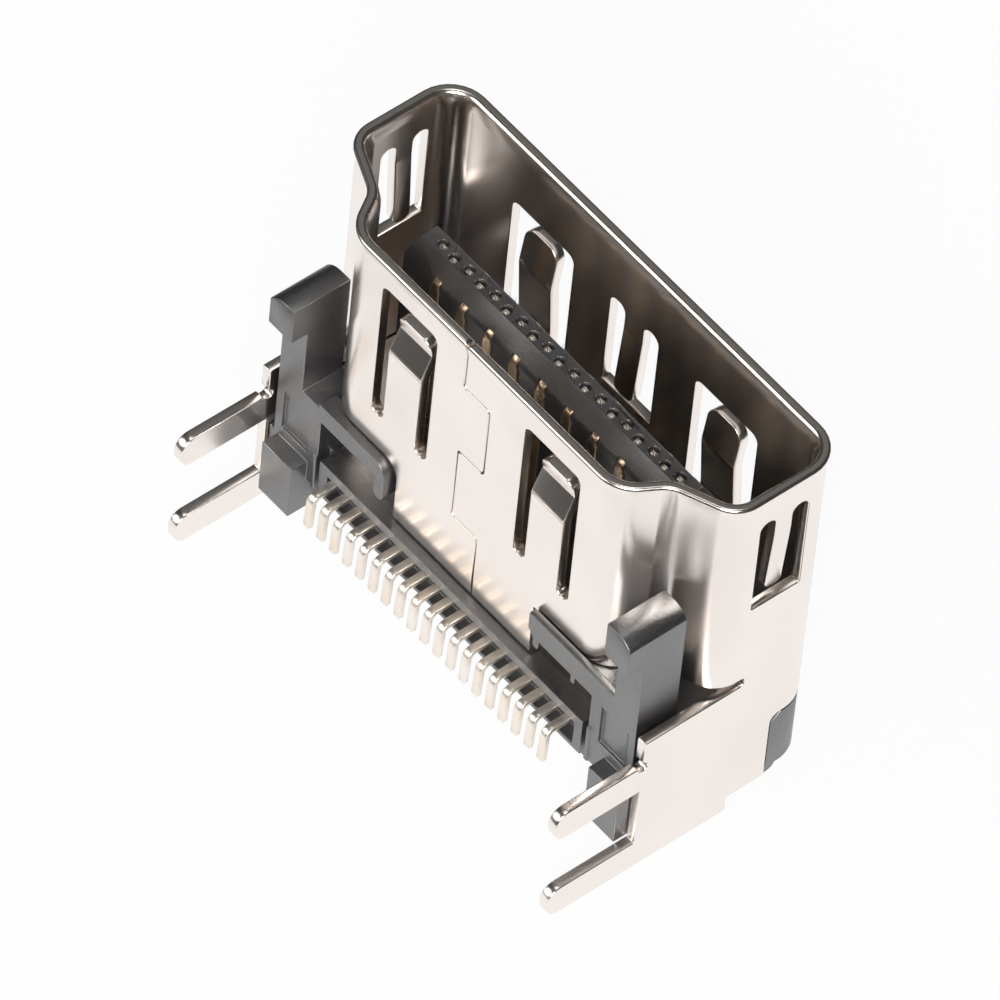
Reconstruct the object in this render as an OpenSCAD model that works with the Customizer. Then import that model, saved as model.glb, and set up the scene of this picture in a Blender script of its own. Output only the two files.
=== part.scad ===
// Board-mount video socket: a folded sheet shell round a moulding that carries a row of bent contacts.
// It stands on its rear face with the mouth up. X runs along the row and -Y faces the circuit board.
// The origin is on the rear face, under the middle of the mouth. All sizes are in millimetres.

/* [Mouth] */
// Width of the mouth between its side walls
mouth_w = 14.1; // [13.6:0.1:15]
// Depth of the mouth between its board side wall and its back wall
mouth_d = 4.6; // [4.4:0.1:5.2]
// Height from the rear face to the rim
height = 12; // [11.8:0.1:14]
// How far a side wall runs past the middle of the mouth before its bevel starts
shoulder_drop = 0.53; // [0.4:0.01:0.65]
// Distance of the bevel's step from the side wall
step_in = 1.57; // [1.4:0.01:1.75]
// How far the bevel's step lies past the middle of the mouth
step_drop = 1.21; // [1.1:0.01:1.35]
// Distance of the board side wall's corners from the side wall
front_in = 2.22; // [2.1:0.01:2.5]
// Inner radius of the two back corners
back_r = 0.7; // [0.5:0.05:0.9]
// Inner radius of the two shoulders
shoulder_r = 0.55; // [0.3:0.05:0.6]
// Inner radius of the two steps, which bend the other way
step_r = 1.1; // [0.6:0.05:1.2]
// Inner radius of the two corners on the board side
front_r = 0.8; // [0.5:0.05:0.9]

/* [Sheet] */
// Thickness of the sheet
sheet = 0.3; // [0.2:0.02:0.34]
// How far the lip flares outwards
flare = 0.09; // [0.03:0.01:0.15]
// Height of the flared lip
flare_h = 0.45; // [0.3:0.05:0.6]
// Gap of the seam where the sheet's two ends meet
seam_gap = 0.05; // [0.03:0.01:0.1]
// Sideways throw of the seam's dovetails
seam_throw = 0.96; // [0.6:0.02:1.4]

/* [Board side springs] */
// Width of a spring's window in the board side wall
front_window_w = 2.09; // [1.9:0.01:2.4]
// Width of the slots on both sides of such a spring
front_slot = 0.44; // [0.3:0.01:0.5]
// Height of such a window with its slots
front_window_h = 4.7; // [4:0.1:5]
// Distance of these springs from the middle
front_spring_x = 2.71; // [2.4:0.01:2.9]
// Distance of these windows from the rim
front_drop = 0.9; // [0.8:0.01:1.3]
// How far the knee of such a spring stands inside the wall
front_knee = 0.3; // [0.2:0.02:0.5]

/* [Back wall springs] */
// Width of a spring's window in the back wall
back_window_w = 2.33; // [2.1:0.01:2.5]
// Width of the slots on both sides of such a spring
back_slot = 0.56; // [0.4:0.01:0.6]
// Height of such a window with its slots
back_window_h = 4.8; // [4:0.1:5]
// Distance of these springs from the middle
back_spring_x = 3.48; // [3.2:0.01:4]
// Distance of these windows from the rim
back_drop = 2; // [1.5:0.1:2.6]
// How far such a spring bows into the mouth
back_bow = 0.14; // [0.06:0.01:0.3]

/* [Lances] */
// Width of the slots on both sides of a side wall's lanced tongue
side_lance_slot = 0.49; // [0.4:0.01:0.55]
// Width of the slots on both sides of the back wall's lanced tongue
back_lance_slot = 0.56; // [0.4:0.01:0.6]
// Height of a lance's window
lance_h = 3.2; // [2.6:0.1:3.4]
// How far a lance's end is bent into the mouth
lance_bend = 0.14; // [0.05:0.01:0.4]
// Width of a side wall's lanced tongue
side_lance_w = 0.52; // [0.44:0.02:0.7]
// Distance of the side wall lances from the middle of the mouth
side_lance_y = 0.82; // [0.7:0.02:0.9]
// Distance of the side wall lances from the rim
side_lance_drop = 1.05; // [0.8:0.05:1.6]
// Width of the back wall's lanced tongue
back_lance_w = 0.7; // [0.5:0.02:1]
// Distance of the back wall lance from the rim
back_lance_drop = 1.95; // [1.5:0.05:2.6]

/* [Side plates and legs] */
// Height of the side plates
plate_h = 4.8; // [4.6:0.05:5]
// Height of the slit between a side plate and the bevel above it
slit_h = 0.3; // [0.2:0.02:0.4]
// Distance of the board legs' tips from the standing pads
leg_reach = 2.3; // [1.5:0.1:3.2]
// Width of a board leg
leg_w = 0.95; // [0.7:0.05:1.2]
// Distance between the two legs of a side plate
leg_pitch = 2.97; // [2.6:0.01:3.1]
// Height of the notches in the back corners, which lugs of the moulding fill
notch_h = 2.8; // [2.2:0.05:3.2]
// Distance of the notches from the middle of the mouth
notch_y = 1.2; // [1:0.05:1.4]

/* [Moulding] */
// Clearance between the moulding and the shell
housing_fit = 0.02; // [0.01:0.01:0.05]
// How far the standing pads lie past the inside of the board side wall
pad_drop = 1.05; // [0.9:0.05:1.3]
// How far the pads stand proud of the posts
pad_step = 0.5; // [0.3:0.05:0.6]
// Width of a post
post_w = 0.9; // [0.7:0.05:1]
// Distance of a post from the side plate
post_gap = 0.18; // [0.1:0.02:0.3]
// Height of the posts
post_h = 8.4; // [7:0.1:9]
// How far a post's rounded top falls at its outer side
post_fall = 0.28; // [0.1:0.02:0.4]
// Height of the pad at a post's top
pad_h = 1.17; // [0.6:0.05:1.4]
// Height of the feet's upper faces
foot_top = 2.75; // [2.4:0.05:2.8]
// Height of the feet's lower faces
foot_bottom = 0.95; // [0.5:0.05:1.5]
// Width of a foot
foot_w = 1.15; // [0.9:0.05:1.3]

/* [Tongue] */
// Thickness of the tongue
tongue_t = 1.2; // [1:0.05:1.4]
// Distance of the tongue's end from the rim
tongue_drop = 1.92; // [1.6:0.02:2.4]
// Plain width at both ends of the tongue, past the outer contacts
tongue_margin = 0.75; // [0.6:0.05:0.9]
// Run of the chamfers that lead a plug over the tongue
tongue_chamfer = 0.35; // [0.2:0.01:0.36]
// Height of these chamfers
tongue_lead = 0.6; // [0.4:0.05:0.8]
// Width of the holes that the contact tips lie in
tip_hole_d = 0.3; // [0.26:0.02:0.32]

/* [Contacts] */
// Distance between neighbouring contacts
pitch = 0.5; // [0.48:0.01:0.52]
// Thickness of the contact strip
contact_t = 0.15; // [0.1:0.01:0.18]
// Width of a contact on the tongue
blade_w = 0.34; // [0.26:0.02:0.4]
// Width of a contact's tail and tip
tail_w = 0.24; // [0.16:0.02:0.28]
// How far a contact's blade stands proud of the tongue
blade_proud = 0.04; // [0.02:0.01:0.06]
// Height of the contacts' run through the base block
run_z = 2.9; // [2.8:0.02:3]
// Distance of the tails' soldering faces from the standing pads
tail_drop = 0.34; // [0.1:0.02:0.4]
// Height of the tails' tips
tail_end = 1.86; // [1.7:0.05:2.2]
// Clearance round a contact in the moulding
contact_fit = 0.01; // [0.005:0.005:0.02]

/* [Hidden] */
contact_count = 19;
contact_names = [for (i = [1:contact_count]) str("contact_", i < 10 ? "0" : "", i)];
$fn = 48;
nickel = "gainsboro";
black_plastic = "#2b2b2e";
gilt = "#d9b36c";
bend_steps = 8;                                // chords in a rounded corner of the tube
through = 1;                                   // how far a cut runs past what it cuts

// Planes of the shell
side_in = mouth_w / 2;                         // inside of a side wall
side_out = side_in + sheet;
back_in = mouth_d / 2;                         // inside of the back wall
back_out = back_in + sheet;
front_out = -back_out;                         // outside of the board side wall
skirt_z = plate_h + slit_h;                    // lower edge of the bevelled walls
left_rise = 0.16;                              // how much higher that edge lies on the left
corner_start = back_in - back_r;               // where the back corners' bends begin
seam_left = -0.57;                             // the seam's left-hand runs
seam_jogs = [1.65, 4.05, 6.5];                 // distances of the seam's jogs from the rim
apron_half = 2.62;                             // half width of the board side wall's middle part
left_cut_r = 0.5;                              // rounding of the left cut-out

// Bends of the springs and lances: how far inside the wall, and how far from the upper edge of the window.
// The first bend is where a tab leaves the wall and the last is its end.
front_open = 2.05;
front_spring = [[0, -front_open], [front_knee, -1.32], [0.2, -0.83]];
front_bend_r = 0.25;
front_tip_r = 0.28;
back_open = 3.3;
back_spring = [[0, -back_open], [back_bow, -1.65], [-0.02, -0.42]];
back_bend_r = 1;
back_tip_r = 0.4;
window_r = 0.25;                               // rounding of the springs' windows
lance_open = 0.7;
lance_gap = 0.3;                               // room between a lance's end and its window's lower edge
lance = [[0, lance_open], [lance_bend, lance_h - lance_gap]];
lance_bend_r = 0.4;
lance_tip_r = 0.2;
tab_root = 0.3;                                // overlap of a bent tab with the wall that it grows from

// Side plates
plate_foot = 0.5;                              // how far the plates' back part lies above the ground
notch_r = 0.3;                                 // rounding of the notches' inner corners
root_relief_d = 0.3;                           // relief above the upper leg's root

// Planes of the moulding
pad_y = -back_in - pad_drop;                   // plane of the standing pads
post_y = pad_y + pad_step;                     // front of the posts, end blocks and bars
plate_front = pad_y + 0.4;                     // front edge of the side plates
post_outer = side_in - post_gap;
post_inner = post_outer - post_w;
post_back = -(step_drop + sheet + 0.05);
post_top_r = 0.65;                             // rounding of a post's top
block_inner = post_inner - 0.77;               // inner side of the end blocks
frame_top = skirt_z - 0.04;                    // upper edge of the end blocks and bars
bar_h = 0.6;
base_h = run_z + 0.5;
base_front = -back_in + 0.6;
strip_front = post_y - 0.05;                   // front of the strip that the tails come out of
strip_top = run_z + 0.4;
strip_bottom = run_z - 0.85;
strip_lip = 0.6;                               // thickness of the strip's upper edge
strip_slot = 0.14;                             // slots between the strip and the end blocks
mouth_slot = 0.4;                              // depth of the slot that the contacts leave the strip by
slot_edge = 0.13;                              // how far that slot runs past the contacts
apron_z = strip_top + 0.08;                    // lower edge of the board side wall's middle part
foot_outer = side_in - housing_fit;
left_foot_in = 0.33;                           // the left foot stands this much further in
lug_bottom = 0.77;
lug_gap = 0.03;                                // clearance between a lug and its notch
panel_depth = 0.1;                             // depth of the bare panels on the end blocks

// Tongue and contacts
tongue_top = height - tongue_drop;
tongue_half = (contact_count - 1) * pitch / 2 + tongue_margin;
tip_y = -0.04;
tip_offset = 0.03;                             // the tips of the two rows lie this far either side of tip_y
tip_bend = tongue_top - 0.22;                  // where a tip turns into the tongue
tip_end = tongue_top - 0.06;
blade_top = tongue_top - 0.62;                 // where a blade comes to the tongue's surface
tail_lean = 0.05;                              // how far a tail leans out towards its tip
contact_bend_r = 0.2;

// Plane geometry

function unit(v) = v / norm(v);
function turn(a, b) = atan2(a.x * b.y - a.y * b.x, a * b);
function way(p, q) = unit([q.x - p.x, q.y - p.y]);

// Centre, turn, heading and radius of the rounded corner at q between p and n; q.z is its radius.
function corner(p, q, n) =
    let (a = way(p, q), b = way(q, n), t = turn(a, b))
    [[q.x, q.y] + unit(b - a) * q.z / cos(t / 2), t, atan2(a.y, a.x), q.z];

// Points along the arc of such a corner, set out by a distance to the right of the path.
function arc(c, steps, out = 0) =
    let (side = sign(c[1]), r = c[3] + side * out, from = c[2] - 90 * side)
    [for (k = [0:steps]) let (a = from + c[1] * k / steps) c[0] + r * [cos(a), sin(a)]];

// An open path with each inner point rounded to the radius r.
function rounded_path(path, r, steps = 4) =
    [for (i = [0:len(path) - 1])
        if (i == 0 || i == len(path) - 1) path[i]
        else each arc(corner(path[i - 1], [path[i].x, path[i].y, r], path[i + 1]), steps)];

// Outline of a strip of thickness t along an open path, with mitred joints.
function mitre(path, i) =
    let (last = len(path) - 1, a = way(path[max(i - 1, 0)], path[max(i, 1)]),
         b = way(path[min(i, last - 1)], path[min(i + 1, last)]), m = unit(a + b))
    [-m.y, m.x] / (m * a);
function ribbon(path, t) =
    concat([for (i = [0:len(path) - 1]) path[i] + mitre(path, i) * t / 2],
           [for (i = [len(path) - 1:-1:0]) path[i] - mitre(path, i) * t / 2]);

// A part and its reflection in the middle plane.
module both_sides() {
    children();
    mirror([1, 0, 0]) children();
}

// A plate drawn in X and Z that reaches from y0 to y1.
module upright(y0, y1) {
    translate([0, y1, 0]) rotate([90, 0, 0]) linear_extrude(y1 - y0) children();
}

// A plate drawn in Y and Z that reaches from x0 to x1.
module sideways(x0, x1) {
    translate([x0, 0, 0]) rotate([90, 0, 90]) linear_extrude(x1 - x0) children();
}

// A block given by its two far corners.
module block(low, high) {
    translate(low) cube(high - low);
}

// The mouth's inner outline as corners with their radii, in the order that keeps the mouth on the left.
right_half = [
    [side_in - front_in, -back_in, front_r],
    [side_in - step_in, -step_drop, step_r],
    [side_in, -shoulder_drop, shoulder_r],
    [side_in, back_in, back_r]
];
left_half = [for (i = [len(right_half) - 1:-1:0]) [-right_half[i].x, right_half[i].y, right_half[i].z]];
mouth = concat(right_half, left_half);

// That outline as points, set out by a distance all round.
function outline(out) =
    let (n = len(mouth))
    [for (i = [0:n - 1])
        each arc(corner(mouth[(i + n - 1) % n], mouth[i], mouth[(i + 1) % n]), bend_steps, out)];

// A closed ring between four outlines, each the next one's neighbour in the ring's section.
module ring(loops) {
    n = len(loops[0]);
    quads = [for (j = [0:3]) for (i = [0:n - 1]) let (k = (j + 1) % 4, m = (i + 1) % n)
        [k * n + i, k * n + m, j * n + m, j * n + i]];
    polyhedron([for (l = loops) each l], quads);
}
function lift(points, z) = [for (p = points) [p.x, p.y, z]];

// The wall round the mouth, with its flared lip.
module tube() {
    lip = height - flare_h;
    linear_extrude(lip) difference() {
        polygon(outline(sheet));
        polygon(outline(0));
    }
    ring([lift(outline(0), lip), lift(outline(sheet), lip),
          lift(outline(sheet + flare), height), lift(outline(flare), height)]);
}

// A flat tab of width w and height h, with its two upper corners rounded by r.
module tab_face(w, h, r) {
    translate([-w / 2, 0]) square([w, h - r]);
    translate([r - w / 2, 0]) square([w - 2 * r, h]);
    for (s = [-1, 1]) translate([s * (w / 2 - r), h - r]) circle(r = r);
}

// A tab that grows up out of a wall, bent towards +Y; its drawing's height 0 is the edge of its window.
module tab(bends, w, tip_r, bend_r) {
    end = len(bends) - 1;
    root = bends[0].y - tab_root;
    path = concat([[bends[0].x, root]], [for (i = [0:end - 1]) bends[i]],
                  [bends[end] + way(bends[end - 1], bends[end]) * tab_root]);
    intersection() {
        sideways(-w, w) polygon(ribbon(rounded_path(path, bend_r), sheet));
        upright(-through, through) translate([0, root]) tab_face(w, bends[end].y - root, tip_r);
    }
}

// Shape of the cut round a spring: a window above two slots with round ends.
module spring_cut(w, h, slot, open) {
    translate([0, -open]) tab_face(w, open, window_r);
    for (s = [-1, 1]) translate([s * (w - slot) / 2, slot / 2 - h]) {
        translate([-slot / 2, 0]) square([slot, h - slot / 2 - window_r]);
        circle(d = slot);
    }
}

// Shape of the cut round a lanced tongue of width w: two slots with round tops, joined at the bottom.
module lance_cut(w, slot) {
    for (s = [-1, 1]) translate([s * (w + slot) / 2, 0]) {
        translate([-slot / 2, -lance_h]) square([slot, lance_h - slot / 2]);
        translate([0, -slot / 2]) circle(d = slot);
    }
    translate([-w / 2 - slot, -lance_h]) square([w + 2 * slot, lance_h - lance_open]);
}

// The seam where the two ends of the sheet meet: dovetails down the middle of the board side wall.
module seam_cut() {
    right = seam_left + seam_throw;
    z = [for (jog = seam_jogs) height - jog];
    path = [[seam_left, height + through], [seam_left, z[0]], [right, z[0]], [right, z[1]],
            [seam_left, z[1]], [seam_left, z[2]], [right, z[2]], [right, 0]];
    polygon(ribbon(rounded_path(path, 0.12, 3), seam_gap));
}

// Room under the bevels and beside the board side wall's middle, where the moulding comes through.
module apron_cut() {
    left_top = skirt_z + left_rise;
    left_w = side_in - step_in - apron_half;
    translate([-mouth_w, -through]) square([2 * mouth_w, apron_z + through]);
    translate([apron_half, -through]) square([mouth_w, skirt_z + through]);
    mirror([1, 0]) translate([apron_half, -through]) square([mouth_w, left_top - left_cut_r + through]);
    mirror([1, 0]) translate([apron_half + left_cut_r, 0]) square([left_w, left_top]);
    translate([-apron_half - left_cut_r, left_top - left_cut_r]) circle(r = left_cut_r);
}

// Outline of a flat side plate with its two legs, drawn in Y and Z.
module side_plate() {
    tip = pad_y - leg_reach;
    tip_r = leg_w * 0.42;
    difference() {
        union() {
            polygon([[plate_front, 0], [0, 0], [0, plate_foot], [notch_y, plate_foot], [notch_y, notch_h],
                     [corner_start, notch_h], [corner_start, skirt_z], [0, skirt_z], [0, plate_h],
                     [plate_front, plate_h]]);
            translate([notch_y, notch_h - notch_r]) difference() {
                square(notch_r);
                translate([notch_r, 0]) circle(r = notch_r);
            }
            for (z = [0, leg_pitch]) translate([0, z]) {
                translate([tip + tip_r, 0]) square([plate_front - tip - tip_r + tab_root, leg_w]);
                translate([tip, tip_r]) square([tip_r, leg_w - 2 * tip_r]);
                for (v = [tip_r, leg_w - tip_r]) translate([tip + tip_r, v]) circle(r = tip_r);
            }
        }
        translate([plate_front, leg_pitch + leg_w]) circle(d = root_relief_d);
    }
}

// The tube cut back at the rear end, where the side plates and the moulding take over.
module trimmed_tube() {
    difference() {
        tube();
        upright(front_out - through, -shoulder_drop) apron_cut();
        both_sides() {
            block([side_in - back_r, -mouth_d, -through], [side_out + through, corner_start, skirt_z]);
            block([side_in - back_r, 0, -through], [side_out + through, back_out + through, notch_h]);
        }
        block([-mouth_w, 0, -through], [mouth_w, back_out + through, plate_foot]);
    }
}

module shell() {
    color(nickel) {
        difference() {
            union() {
                trimmed_tube();
                both_sides() sideways(side_in, side_out) side_plate();
            }
            // slits above the side plates
            both_sides() sideways(side_in - sheet, side_out + through) {
                translate([0, plate_h + slit_h / 2]) circle(d = slit_h);
                translate([-mouth_d, plate_h]) square([mouth_d, slit_h]);
            }
            upright(front_out - through, -back_in + sheet) seam_cut();
            both_sides() {
                upright(front_out - through, -back_in + sheet)
                    translate([front_spring_x, height - front_drop])
                        spring_cut(front_window_w, front_window_h, front_slot, front_open);
                upright(back_in - sheet, back_out + through)
                    translate([back_spring_x, height - back_drop])
                        spring_cut(back_window_w, back_window_h, back_slot, back_open);
                sideways(side_in - sheet, side_out + through)
                    translate([side_lance_y, height - side_lance_drop])
                        lance_cut(side_lance_w, side_lance_slot);
            }
            upright(back_in - sheet, back_out + through)
                translate([0, height - back_lance_drop]) lance_cut(back_lance_w, back_lance_slot);
        }
        both_sides() {
            translate([front_spring_x, -back_in - sheet / 2, height - front_drop])
                tab(front_spring, front_window_w - 2 * front_slot, front_tip_r, front_bend_r);
            translate([back_spring_x, back_in + sheet / 2, height - back_drop]) rotate(180)
                tab(back_spring, back_window_w - 2 * back_slot, back_tip_r, back_bend_r);
            translate([side_in + sheet / 2, side_lance_y, height - side_lance_drop]) rotate([0, 180, 90])
                tab(lance, side_lance_w, lance_tip_r, lance_bend_r);
        }
        translate([0, back_in + sheet / 2, height - back_lance_drop]) rotate([0, 180, 180])
            tab(lance, back_lance_w, lance_tip_r, lance_bend_r);
    }
}

// Place of a contact along the row, and its side of the tongue: 1 for the back, -1 for the board.
function contact_x(i) = (i - (contact_count + 1) / 2) * pitch;
function contact_side(i) = i % 2 == 1 ? 1 : -1;
function contact_tip_y(i) = tip_y + contact_side(i) * tip_offset;
function blade_y(i) = contact_side(i) * (tongue_t / 2 + blade_proud - contact_t / 2);

// One contact, or the room that it takes in the moulding when room is more than nothing.
module contact_solid(i, room = 0) {
    t = contact_t + 2 * room;
    tail_y = pad_y - tail_drop + contact_t / 2;
    tip = [[contact_tip_y(i), tip_end], [contact_tip_y(i), tip_bend],
           [blade_y(i), blade_top], [blade_y(i), blade_top - tab_root]];
    tail = [[blade_y(i), base_h + tab_root], [blade_y(i), run_z],
            [tail_y + tail_lean, run_z], [tail_y, tail_end]];
    translate([contact_x(i), 0, 0]) {
        sideways(-tail_w / 2 - room, tail_w / 2 + room) {
            polygon(ribbon(rounded_path(tip, contact_bend_r, 3), t));
            polygon(ribbon(rounded_path(tail, contact_bend_r), t));
        }
        sideways(-blade_w / 2 - room, blade_w / 2 + room)
            polygon(ribbon([[blade_y(i), blade_top - tab_root / 2], [blade_y(i), base_h + tab_root / 2]], t));
    }
}

module contact(i) {
    color(gilt) contact_solid(i);
}

// The base block, which fills the shell's rear end.
module base() {
    x = side_in - housing_fit;
    y = back_in - housing_fit;
    linear_extrude(base_h) {
        difference() {
            translate([-x, base_front]) square([2 * x, y - base_front]);
            both_sides() translate([x - back_r, y - back_r]) square(back_r + through);
        }
        both_sides() translate([x - back_r, y - back_r]) circle(r = back_r);
    }
}

// A lug that fills the notch in a back corner of the shell, flush with the outside of the sheet.
module lug() {
    low = notch_y + lug_gap;
    top = notch_h - lug_gap;
    r = back_r + sheet;
    intersection() {
        linear_extrude(notch_h) {
            translate([side_in - back_r, corner_start]) circle(r = r);
            translate([side_in - back_r, 0]) square([r, corner_start]);
        }
        block([side_in - back_r + lug_gap, 0, 0], [side_out, back_out, notch_h]);
        sideways(0, side_out)
            polygon([[low, lug_bottom], [back_out - notch_r, lug_bottom], [back_out, lug_bottom + notch_r],
                     [back_out, top], [low + notch_r, top], [low, top - notch_r]]);
    }
}

module tongue() {
    half_t = tongue_t / 2;
    flat = half_t - tongue_chamfer;
    lead = tongue_top - tongue_lead;
    end_lead = 0.2;
    intersection() {
        sideways(-tongue_half, tongue_half)
            polygon([[-half_t, run_z], [half_t, run_z], [half_t, lead], [flat, tongue_top],
                     [-flat, tongue_top], [-half_t, lead]]);
        upright(-tongue_t, tongue_t)
            polygon([[-tongue_half, 0], [tongue_half, 0], [tongue_half, lead],
                     [tongue_half - end_lead, tongue_top], [end_lead - tongue_half, tongue_top],
                     [-tongue_half, lead]]);
    }
}

// A post seen from the board: straight sides and a top that is rounded down to its outer side.
module post_face() {
    reach = sqrt(2 * post_top_r * post_fall - pow(post_fall, 2));
    middle = [post_outer - reach, post_h - post_top_r];
    intersection() {
        translate([post_inner, foot_top]) square([post_w, post_h - foot_top]);
        union() {
            translate(middle) circle(r = post_top_r);
            square([middle.x, post_h]);
            square([side_in, middle.y]);
        }
    }
}

// The bar in the left cut-out, with its inner end turned down to a round tip.
module left_bar() {
    w = 0.36;
    r = 0.45;
    top = frame_top + left_rise - lug_gap;
    end_x = apron_half + 0.16;
    tip_z = frame_top - 1.15;
    mirror([1, 0, 0]) upright(post_y, -back_in) {
        translate([end_x + r, top - bar_h]) square([block_inner - end_x - r + strip_slot, bar_h]);
        translate([end_x, tip_z + w / 2]) square([w, top - r - tip_z - w / 2]);
        translate([end_x + w / 2, tip_z + w / 2]) circle(d = w);
        intersection() {
            translate([end_x + r, top - r]) circle(r = r);
            translate([end_x, top - bar_h]) square([r, bar_h]);
        }
    }
}

// End block, post and pad on one side.
module side_frame() {
    upright(post_y, post_back) post_face();
    upright(pad_y, post_back) intersection() {
        post_face();
        translate([0, post_h - pad_h]) square([side_in, pad_h]);
    }
    block([block_inner, post_y, foot_top], [post_outer, post_back, frame_top]);
    block([block_inner, post_y, strip_bottom], [foot_outer, base_front + through / 2, foot_top]);
}

module foot(outer) {
    block([outer - foot_w, pad_y, foot_bottom], [outer, base_front + through / 2, foot_top]);
}

// The strip that the contacts leave by: hollowed above behind its lip, slotted in front round them.
module strip() {
    x = block_inner;
    slot_x = contact_x(contact_count) + tail_w / 2 + slot_edge;
    difference() {
        block([-x - strip_slot, strip_front, strip_bottom],
              [x + strip_slot, base_front + through / 2, strip_top]);
        block([-x, strip_front + strip_lip, run_z + contact_t], [x, base_front, strip_top + through]);
        block([-slot_x, strip_front - through, strip_bottom + slot_edge],
              [slot_x, strip_front + mouth_slot, run_z + contact_t / 2 + contact_fit]);
    }
}

// The bar in the right cut-out: its front stands up before the wall's edge, over a rib and a short tip.
module right_bar() {
    end_x = apron_half + 0.14;
    low = frame_top - bar_h;
    rise = 0.17;
    cut = 0.2;
    rib_x = 4.4;
    rib_w = 0.16;
    rib_drop = 0.25;
    tip_w = 0.22;
    upright(post_y, -back_in) {
        polygon([[end_x, low + cut], [end_x + cut, low], [block_inner + strip_slot, low],
                 [block_inner + strip_slot, frame_top], [end_x, frame_top]]);
        translate([rib_x, low - rib_drop]) square([rib_w, bar_h]);
        translate([end_x + cut, low - cut]) square([tip_w, bar_h]);
        translate([end_x + cut + tip_w / 2, low - cut]) circle(d = tip_w);
    }
    upright(post_y, front_out - lug_gap)
        translate([end_x, low + cut]) square([post_inner + strip_slot - end_x, bar_h + rise - cut]);
}

module housing() {
    color(black_plastic) difference() {
        union() {
            base();
            tongue();
            strip();
            both_sides() {
                lug();
                side_frame();
            }
            foot(foot_outer);
            mirror([1, 0, 0]) foot(foot_outer - left_foot_in);
            right_bar();
            left_bar();
        }
        for (i = [1:contact_count]) {
            contact_solid(i, contact_fit);
            translate([contact_x(i), contact_tip_y(i), tip_bend]) cylinder(d = tip_hole_d, h = through);
        }
        both_sides() {
            // bare panels on the end blocks
            block([block_inner + 0.4, post_y - through, foot_top + 0.3],
                  [post_outer - 0.27, post_y + panel_depth, frame_top - 0.65]);
            // slots between the strip and the end blocks
            block([block_inner - strip_slot, strip_front - through, strip_bottom - through],
                  [block_inner, strip_front + 0.45, strip_top + through]);
        }
        // eased edge along the back of the rear face
        sideways(-mouth_w, mouth_w) translate([back_in, 0]) rotate(45) square(0.5, center = true);
    }
}

shell();
housing();
for (i = [1:contact_count]) contact(i);
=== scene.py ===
from math import radians

import bmesh
import bpy
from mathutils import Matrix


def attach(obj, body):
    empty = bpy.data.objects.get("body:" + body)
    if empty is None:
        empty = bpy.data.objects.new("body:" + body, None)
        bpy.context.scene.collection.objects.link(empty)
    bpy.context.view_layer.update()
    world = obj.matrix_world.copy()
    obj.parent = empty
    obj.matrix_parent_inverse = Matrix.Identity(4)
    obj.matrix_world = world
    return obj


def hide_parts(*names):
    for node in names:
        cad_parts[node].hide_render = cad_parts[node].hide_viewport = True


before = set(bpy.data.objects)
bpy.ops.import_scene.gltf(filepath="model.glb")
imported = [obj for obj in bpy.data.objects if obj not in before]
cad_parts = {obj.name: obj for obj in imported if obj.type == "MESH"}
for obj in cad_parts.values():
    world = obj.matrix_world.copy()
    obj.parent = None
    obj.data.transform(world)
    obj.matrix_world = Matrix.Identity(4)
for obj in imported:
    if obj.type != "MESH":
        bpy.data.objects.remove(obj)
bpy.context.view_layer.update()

# View
# One long lens looks down into the mouth from the board side's right-hand corner.
# The lens has no shift.
camera_place = (0.201808, -0.197610, 0.350970)
camera_turn = (39.0275, -3.8654, 50.5827)
scene = bpy.context.scene
scene.view_settings.view_transform = "Standard"
bpy.ops.object.camera_add(location=camera_place)
camera = bpy.context.object
camera.rotation_euler = [radians(angle) for angle in camera_turn]
camera.data.sensor_width = 36
camera.data.lens = 660.707
camera.data.clip_start = 0.01
scene.camera = camera

# Light
# A dark studio with a soft light on the left, a key light on the right, a small one overhead and a pale patch.
# Walls mirror the white floor, bends that lean back mirror the soft light,
# and faces that look up mirror the patch.
studio_dark = 0.01
world = bpy.data.worlds.new("studio")
scene.world = world
world.use_nodes = True
sky_nodes = world.node_tree.nodes
sky_links = world.node_tree.links
direction = sky_nodes.new("ShaderNodeTexCoord")


def glow_towards(aim, outer, inner, strength):
    """Brightness of a soft round light in the sky, with the cosines of its outer and inner edges' angles."""
    towards = sky_nodes.new("ShaderNodeVectorMath")
    towards.operation = "DOT_PRODUCT"
    towards.inputs[1].default_value = aim
    edge = sky_nodes.new("ShaderNodeMapRange")
    edge.interpolation_type = "SMOOTHSTEP"
    edge.inputs["From Min"].default_value = outer
    edge.inputs["From Max"].default_value = inner
    edge.inputs["To Min"].default_value = studio_dark
    edge.inputs["To Max"].default_value = strength
    sky_links.new(direction.outputs["Generated"], towards.inputs[0])
    sky_links.new(towards.outputs["Value"], edge.inputs["Value"])
    return edge.outputs["Result"]


soft_light = glow_towards((-0.453, -0.77, 0.45), outer=0.925, inner=0.965, strength=3)
key_light = glow_towards((0.5, -0.62, 0.605), outer=0.93, inner=0.965, strength=9)
overhead = glow_towards((-0.1, 0.05, 0.994), outer=0.975, inner=0.988, strength=2)
pale_patch = glow_towards((-0.453, 0.44, 0.775), outer=0.90, inner=0.985, strength=0.1)
all_lights = soft_light
for light in (key_light, overhead, pale_patch):
    added = sky_nodes.new("ShaderNodeMath")
    added.operation = "ADD"
    sky_links.new(all_lights, added.inputs[0])
    sky_links.new(light, added.inputs[1])
    all_lights = added.outputs[0]
sky = sky_nodes["Background"]
sky.inputs["Color"].default_value = (1, 0.985, 0.96, 1)
sky_links.new(all_lights, sky.inputs["Strength"])

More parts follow.
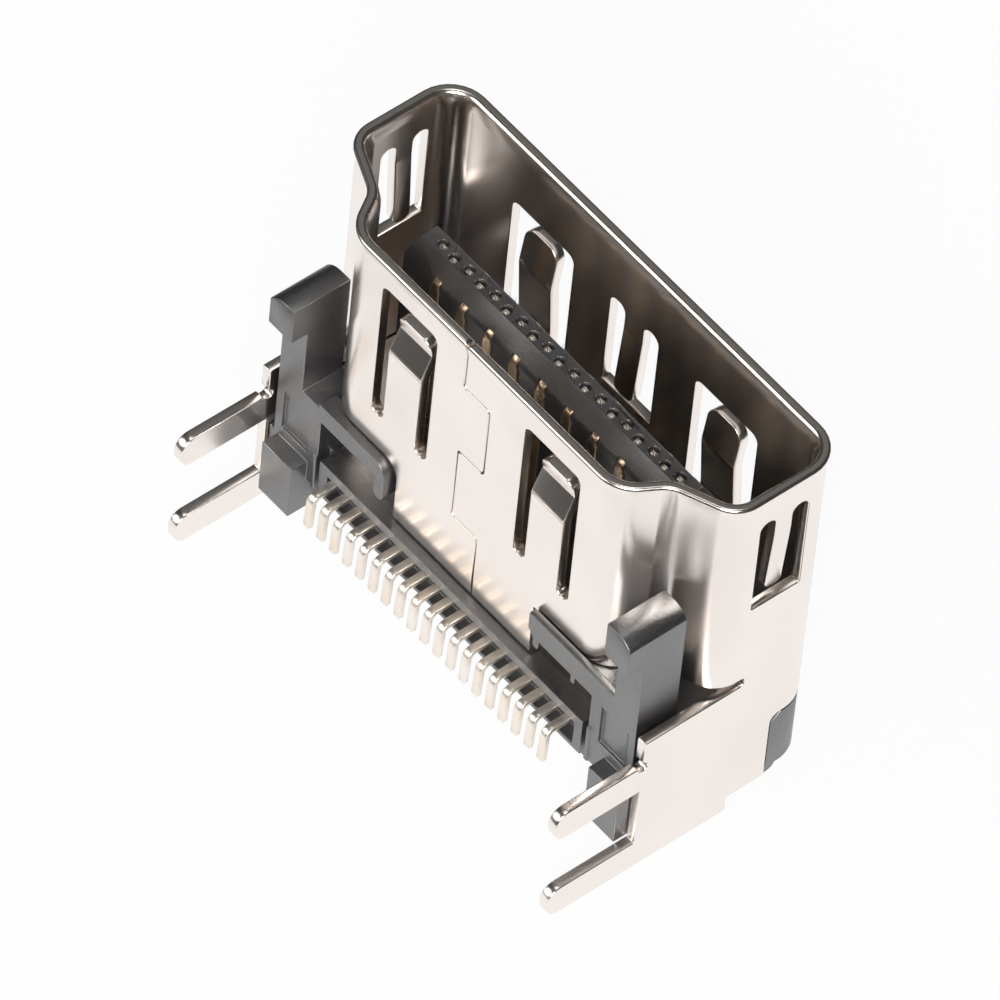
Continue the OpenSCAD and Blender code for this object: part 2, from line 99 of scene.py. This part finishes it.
# Floor
# A white sheet of card under the socket, which runs out of sight all round and takes its soft shadow.
# The lens sees it white everywhere; the metal sees it white near the socket and dim further off.
card_size = 6
card_drop = 0.00002
white_middle = (0, 0.012, 0)
white_reach = 0.025
dim_reach = 0.032
dim_strength = 0.03
glow_share = 0.95
bpy.ops.mesh.primitive_plane_add(size=card_size)
floor = bpy.context.object
floor.name = "floor"
floor.location.z = -card_drop
card = bpy.data.materials.new("white_card")
card.use_nodes = True
floor.data.materials.append(card)
card_nodes = card.node_tree.nodes
card_links = card.node_tree.links
paper = card_nodes["Principled BSDF"]
paper.inputs["Base Color"].default_value = (0.9, 0.9, 0.89, 1)
paper.inputs["Roughness"].default_value = 0.8
place = card_nodes.new("ShaderNodeTexCoord")
distance = card_nodes.new("ShaderNodeVectorMath")
distance.operation = "DISTANCE"
distance.inputs[1].default_value = white_middle
near = card_nodes.new("ShaderNodeMapRange")
near.interpolation_type = "SMOOTHSTEP"
near.inputs["From Min"].default_value = white_reach
near.inputs["From Max"].default_value = dim_reach
near.inputs["To Min"].default_value = 1
near.inputs["To Max"].default_value = dim_strength
rays = card_nodes.new("ShaderNodeLightPath")


def larger(first, second):
    """The larger of two values in the card's material."""
    node = card_nodes.new("ShaderNodeMath")
    node.operation = "MAXIMUM"
    card_links.new(first, node.inputs[0])
    card_links.new(second, node.inputs[1])
    return node.outputs[0]


mirrored = larger(rays.outputs["Is Glossy Ray"], rays.outputs["Is Transmission Ray"])
seen = larger(mirrored, rays.outputs["Is Camera Ray"])
share = card_nodes.new("ShaderNodeMath")
share.operation = "MULTIPLY"
share.inputs[1].default_value = glow_share
glow = card_nodes.new("ShaderNodeEmission")
lit = card_nodes.new("ShaderNodeMixShader")
card_links.new(place.outputs["Object"], distance.inputs[0])
card_links.new(distance.outputs["Value"], near.inputs["Value"])
card_links.new(larger(near.outputs["Result"], rays.outputs["Is Camera Ray"]), glow.inputs["Strength"])
card_links.new(seen, share.inputs[0])
card_links.new(share.outputs[0], lit.inputs["Fac"])
card_links.new(paper.outputs[0], lit.inputs[1])
card_links.new(glow.outputs[0], lit.inputs[2])
card_links.new(lit.outputs[0], card_nodes["Material Output"].inputs["Surface"])

# Shell
# One punched and folded sheet with a bright nickel plate, held on the moulding by its corner notches.
# Punching leaves every cut edge with a fine rounded burr, and the mouth's rim is tumbled rounder still.
edge_round = 0.00003
rim_height = 0.012
rim_roll = 0.00011
level = 1e-6


def merged_copy(node, name):
    """A copy of a node with its loose triangles joined into whole faces."""
    piece = bpy.data.objects.new(name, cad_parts[node].data.copy())
    scene.collection.objects.link(piece)
    bpy.ops.object.select_all(action="DESELECT")
    piece.select_set(True)
    bpy.context.view_layer.objects.active = piece
    bpy.ops.object.mode_set(mode="EDIT")
    bpy.ops.mesh.select_all(action="SELECT")
    bpy.ops.mesh.remove_doubles(threshold=level)
    bpy.ops.mesh.dissolve_limited(angle_limit=radians(0.4))
    bpy.ops.object.mode_set(mode="OBJECT")
    return piece


def soften_edges(piece):
    """Rounds the sharp edges of the active piece and evens out its shading."""
    rounding = piece.modifiers.new("rounding", "BEVEL")
    rounding.width = edge_round
    rounding.segments = 2
    rounding.limit_method = "ANGLE"
    rounding.angle_limit = radians(32)
    rounding.use_clamp_overlap = False
    rounding.miter_outer = "MITER_ARC"
    bpy.ops.object.modifier_apply(modifier="rounding")
    bpy.ops.object.shade_smooth_by_angle(angle=radians(40))
    flats = piece.modifiers.new("flats", "WEIGHTED_NORMAL")
    flats.keep_sharp = True
    bpy.ops.object.modifier_apply(modifier="flats")
    piece.data.materials.clear()


shell = merged_copy("shell", "shell_sheet")
bpy.ops.object.mode_set(mode="EDIT")
bpy.ops.mesh.select_mode(type="EDGE")
bpy.ops.mesh.select_all(action="DESELECT")
sheet = bmesh.from_edit_mesh(shell.data)
for edge in sheet.edges:
    on_rim = all(abs(corner.co.z - rim_height) < level for corner in edge.verts)
    on_side = any(abs(face.normal.z) < 0.9 for face in edge.link_faces)
    edge.select_set(on_rim and on_side)
bmesh.update_edit_mesh(shell.data)
bpy.ops.mesh.bevel(offset=rim_roll, segments=4, affect="EDGES")
bpy.ops.object.mode_set(mode="OBJECT")
soften_edges(shell)
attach(shell, "root")
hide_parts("shell")

# Handling and rolling marks, shared by the plated metals:
# a slow smudge, and a fine grain drawn out along one axis.
marks = bpy.data.node_groups.new("handling_marks", "ShaderNodeTree")
marks.interface.new_socket("Smudge size", in_out="INPUT", socket_type="NodeSocketFloat")
marks.interface.new_socket("Grain", in_out="INPUT", socket_type="NodeSocketVector")
marks.interface.new_socket("Smudge", in_out="OUTPUT", socket_type="NodeSocketFloat")
marks.interface.new_socket("Scratch", in_out="OUTPUT", socket_type="NodeSocketFloat")
given = marks.nodes.new("NodeGroupInput")
result = marks.nodes.new("NodeGroupOutput")
place = marks.nodes.new("ShaderNodeTexCoord")
smudge = marks.nodes.new("ShaderNodeTexNoise")
smudge.inputs["Detail"].default_value = 4
smudge.inputs["Roughness"].default_value = 0.55
drawn = marks.nodes.new("ShaderNodeVectorMath")
drawn.operation = "MULTIPLY"
scratch = marks.nodes.new("ShaderNodeTexNoise")
scratch.inputs["Scale"].default_value = 1
scratch.inputs["Detail"].default_value = 5
marks.links.new(place.outputs["Object"], smudge.inputs["Vector"])
marks.links.new(given.outputs["Smudge size"], smudge.inputs["Scale"])
marks.links.new(place.outputs["Object"], drawn.inputs[0])
marks.links.new(given.outputs["Grain"], drawn.inputs[1])
marks.links.new(drawn.outputs[0], scratch.inputs["Vector"])
marks.links.new(smudge.outputs["Fac"], result.inputs["Smudge"])
marks.links.new(scratch.outputs["Fac"], result.inputs["Scratch"])


def plated(name, clean, dull, polish, smudge_size, grain, scratch_depth):
    """A plated metal: its clean and dulled colours, its roughness limits, and its marks."""
    material = bpy.data.materials.new(name)
    material.use_nodes = True
    tree = material.node_tree
    metal = tree.nodes["Principled BSDF"]
    metal.inputs["Metallic"].default_value = 1
    worn = tree.nodes.new("ShaderNodeGroup")
    worn.node_tree = marks
    worn.inputs["Smudge size"].default_value = smudge_size
    worn.inputs["Grain"].default_value = grain
    tint = tree.nodes.new("ShaderNodeValToRGB")
    tint.color_ramp.elements[0].position = 0.35
    tint.color_ramp.elements[0].color = (*clean, 1)
    tint.color_ramp.elements[1].position = 0.75
    tint.color_ramp.elements[1].color = (*dull, 1)
    gloss = tree.nodes.new("ShaderNodeMapRange")
    gloss.inputs["From Min"].default_value = 0.3
    gloss.inputs["From Max"].default_value = 0.75
    gloss.inputs["To Min"].default_value = polish[0]
    gloss.inputs["To Max"].default_value = polish[1]
    lines = tree.nodes.new("ShaderNodeBump")
    lines.inputs["Strength"].default_value = 0.35
    lines.inputs["Distance"].default_value = scratch_depth
    tree.links.new(worn.outputs["Smudge"], tint.inputs["Fac"])
    tree.links.new(tint.outputs["Color"], metal.inputs["Base Color"])
    tree.links.new(worn.outputs["Smudge"], gloss.inputs["Value"])
    tree.links.new(gloss.outputs["Result"], metal.inputs["Roughness"])
    tree.links.new(worn.outputs["Scratch"], lines.inputs["Height"])
    tree.links.new(lines.outputs["Normal"], metal.inputs["Normal"])
    return material


shell.data.materials.append(plated(
    "bright_nickel", clean=(0.94, 0.875, 0.83), dull=(0.89, 0.825, 0.78), polish=(0.2, 0.28),
    smudge_size=260, grain=(9000, 9000, 500), scratch_depth=0.0000007))

# Moulding
# One black, glass-filled moulding with a fine satin texture from the mould.
# Its base block fills the shell's rear end, and its posts, bars and feet come through the cut-outs.
housing = merged_copy("housing", "housing_moulding")
soften_edges(housing)
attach(housing, "root")
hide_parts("housing")
black = bpy.data.materials.new("satin_black_plastic")
black.use_nodes = True
housing.data.materials.append(black)
black_nodes = black.node_tree.nodes
black_links = black.node_tree.links
plastic = black_nodes["Principled BSDF"]
plastic.inputs["IOR"].default_value = 2.8
place = black_nodes.new("ShaderNodeTexCoord")
spark = black_nodes.new("ShaderNodeTexNoise")
spark.inputs["Scale"].default_value = 15000
spark.inputs["Detail"].default_value = 3
flow = black_nodes.new("ShaderNodeTexNoise")
flow.inputs["Scale"].default_value = 700
flow.inputs["Detail"].default_value = 4
shade = black_nodes.new("ShaderNodeValToRGB")
shade.color_ramp.elements[0].position = 0.38
shade.color_ramp.elements[0].color = (0.007, 0.007, 0.008, 1)
shade.color_ramp.elements[1].position = 0.64
shade.color_ramp.elements[1].color = (0.036, 0.035, 0.038, 1)
satin = black_nodes.new("ShaderNodeMapRange")
satin.inputs["From Min"].default_value = 0.3
satin.inputs["From Max"].default_value = 0.7
satin.inputs["To Min"].default_value = 0.32
satin.inputs["To Max"].default_value = 0.4
skin = black_nodes.new("ShaderNodeBump")
skin.inputs["Strength"].default_value = 0.8
skin.inputs["Distance"].default_value = 0.000008
black_links.new(place.outputs["Object"], spark.inputs["Vector"])
black_links.new(place.outputs["Object"], flow.inputs["Vector"])
black_links.new(spark.outputs["Fac"], shade.inputs["Fac"])
black_links.new(shade.outputs["Color"], plastic.inputs["Base Color"])
black_links.new(flow.outputs["Fac"], satin.inputs["Value"])
black_links.new(satin.outputs["Result"], plastic.inputs["Roughness"])
black_links.new(spark.outputs["Fac"], skin.inputs["Height"])
black_links.new(skin.outputs["Normal"], plastic.inputs["Normal"])

# Contacts
# Stamped strips of copper alloy, pressed into the moulding's grooves side by side.
# Their blades have a thin gold plate and their tails are tinned; their domed ends wear the same pale tin
# colour as a painted highlight, brightening the glints the domes catch.
tail_top = 0.0035
end_dome = 0.00006
gilt = plated(
    "gold_plate", clean=(0.87, 0.69, 0.5), dull=(0.74, 0.55, 0.37), polish=(0.24, 0.36),
    smudge_size=900, grain=(9000, 2000, 2000), scratch_depth=0.0000008)
tail_tin_and_tip_highlight = plated(
    "tinned_tail_and_painted_tip_highlight", clean=(0.97, 0.91, 0.84), dull=(0.95, 0.83, 0.71), polish=(0.3, 0.42),
    smudge_size=1200, grain=(3000, 9000, 3000), scratch_depth=0.0000008)
contact_nodes = sorted(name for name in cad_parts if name.startswith("contact_"))
for name in contact_nodes:
    contact = merged_copy(name, name.replace("contact", "contact_strip"))
    bpy.ops.object.mode_set(mode="EDIT")
    bpy.ops.mesh.select_all(action="DESELECT")
    strip = bmesh.from_edit_mesh(contact.data)
    strip_end = max(corner.co.z for corner in strip.verts)
    for edge in strip.edges:
        edge.select_set(all(strip_end - corner.co.z < level for corner in edge.verts))
    bmesh.update_edit_mesh(contact.data)
    bpy.ops.mesh.bevel(offset=end_dome, segments=3, affect="EDGES")
    bpy.ops.object.mode_set(mode="OBJECT")
    soften_edges(contact)
    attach(contact, "root")
    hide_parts(name)
    contact.data.materials.append(gilt)
    contact.data.materials.append(tail_tin_and_tip_highlight)
    # Tail faces get the real tin plate; dome faces get the pale tin colour as a painted highlight on the tips.
    for face in contact.data.polygons:
        on_tail = face.center.z < tail_top
        on_dome = face.center.z > strip_end - end_dome
        face.material_index = int(on_tail or on_dome)

bpy.context.view_layer.update()
